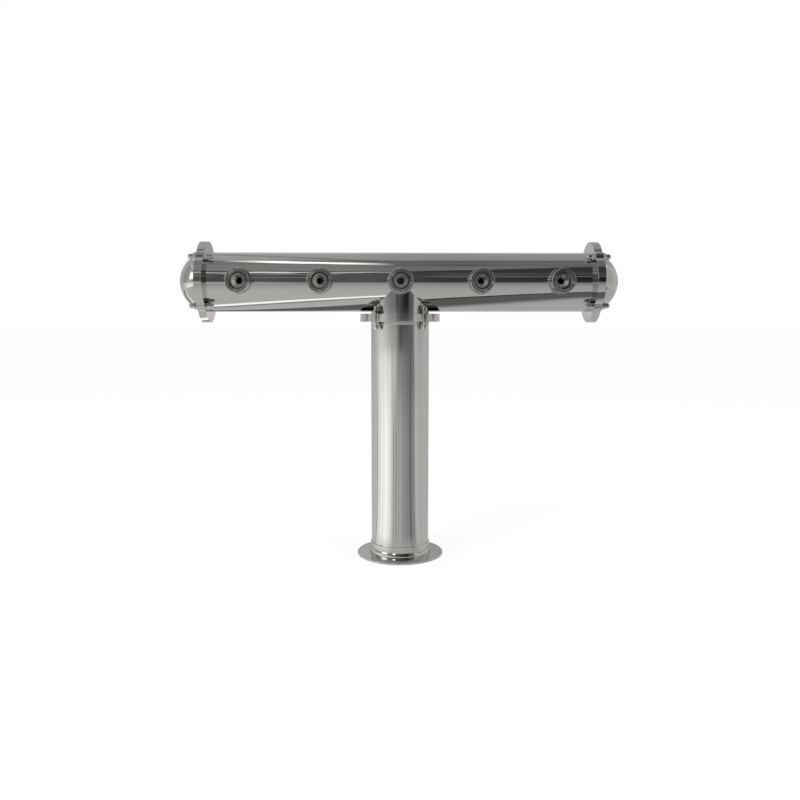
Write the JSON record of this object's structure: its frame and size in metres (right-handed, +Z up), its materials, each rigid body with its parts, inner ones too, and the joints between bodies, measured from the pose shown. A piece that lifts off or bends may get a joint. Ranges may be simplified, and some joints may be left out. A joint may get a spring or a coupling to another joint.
{
  "type": "beer tower dispenser",
  "caption": "Polished steel T-shaped draught beer tower: round column, flanged bar with domed ends and a row of tap shanks with coupling nuts.",
  "frame": {"origin": "centre of the foot plate's underside, on the counter", "axes": "+Z up along the column, +X along the bar to the drinker's right, -Y towards the drinker"},
  "size_m": [0.7598, 0.153, 0.5521],
  "materials": {
    "polished_steel": "mirror-polished stainless steel",
    "nut_steel": "polished stainless acorn nuts",
    "stud_steel": "rolled thread, plain stainless",
    "coupling_chrome": "turned and polished, dark thread inside",
    "shank_steel": "turned stainless steel",
    "brass": "machined brass",
    "line_steel": "drawn stainless tube",
    "aluminium": "machined aluminium",
    "gasket_rubber": "flat black rubber sheet",
    "foam": "closed-cell insulation foam"
  },
  "bodies": {
    "tower": {"base_flange": "polished_steel", "base_ring": "polished_steel", "column": "polished_steel", "collar_lower_plate": "polished_steel", "collar_upper_plate": "polished_steel", "bar_tube": "polished_steel", "bar_stub": "polished_steel", "end_plate_inner_left": "polished_steel", "end_plate_inner_right": "polished_steel", "end_plate_outer_left": "polished_steel", "end_plate_outer_right": "polished_steel", "dome_cap_left": "polished_steel", "dome_cap_right": "polished_steel", "collar_gasket": "gasket_rubber", "end_gasket_left": "gasket_rubber", "end_gasket_right": "gasket_rubber", "collar_studs": "stud_steel", "end_studs_left": "stud_steel", "end_studs_right": "stud_steel", "collar_nuts_upper": "nut_steel", "collar_nuts_lower": "nut_steel", "end_nuts_inner_left": "nut_steel", "end_nuts_inner_right": "nut_steel", "end_nuts_outer_left": "nut_steel", "end_nuts_outer_right": "nut_steel", "shank_1": "shank_steel", "shank_saddle_1": "polished_steel", "lock_nut_1": "brass", "tailpiece_1": "brass", "beer_line_1": "line_steel", "shank_2": "shank_steel", "shank_saddle_2": "polished_steel", "lock_nut_2": "brass", "tailpiece_2": "brass", "beer_line_2": "line_steel", "shank_3": "shank_steel", "shank_saddle_3": "polished_steel", "lock_nut_3": "brass", "tailpiece_3": "brass", "beer_line_3": "line_steel", "shank_4": "shank_steel", "shank_saddle_4": "polished_steel", "lock_nut_4": "brass", "tailpiece_4": "brass", "beer_line_4": "line_steel", "shank_5": "shank_steel", "shank_saddle_5": "polished_steel", "lock_nut_5": "brass", "tailpiece_5": "brass", "beer_line_5": "line_steel", "column_insulation": "foam", "cooling_blocks": "aluminium", "coolant_loop": "line_steel"},
    "coupling_nut_1_body": {"coupling_nut_1": "coupling_chrome"},
    "coupling_nut_2_body": {"coupling_nut_2": "coupling_chrome"},
    "coupling_nut_3_body": {"coupling_nut_3": "coupling_chrome"},
    "coupling_nut_4_body": {"coupling_nut_4": "coupling_chrome"},
    "coupling_nut_5_body": {"coupling_nut_5": "coupling_chrome"}
  },
  "joints": [
    {"name": "coupling_nut_1_spin", "type": "hinge", "parent": "tower", "child": "coupling_nut_1_body", "pos_m": [-0.27, -0.0655, 0.4826], "axis": [0, -1, 0], "continuous": true},
    {"name": "coupling_nut_2_spin", "type": "hinge", "parent": "tower", "child": "coupling_nut_2_body", "pos_m": [-0.135, -0.0655, 0.4826], "axis": [0, -1, 0], "continuous": true},
    {"name": "coupling_nut_3_spin", "type": "hinge", "parent": "tower", "child": "coupling_nut_3_body", "pos_m": [0, -0.0655, 0.4826], "axis": [0, -1, 0], "continuous": true},
    {"name": "coupling_nut_4_spin", "type": "hinge", "parent": "tower", "child": "coupling_nut_4_body", "pos_m": [0.135, -0.0655, 0.4826], "axis": [0, -1, 0], "continuous": true},
    {"name": "coupling_nut_5_spin", "type": "hinge", "parent": "tower", "child": "coupling_nut_5_body", "pos_m": [0.27, -0.0655, 0.4826], "axis": [0, -1, 0], "continuous": true}
  ]
}
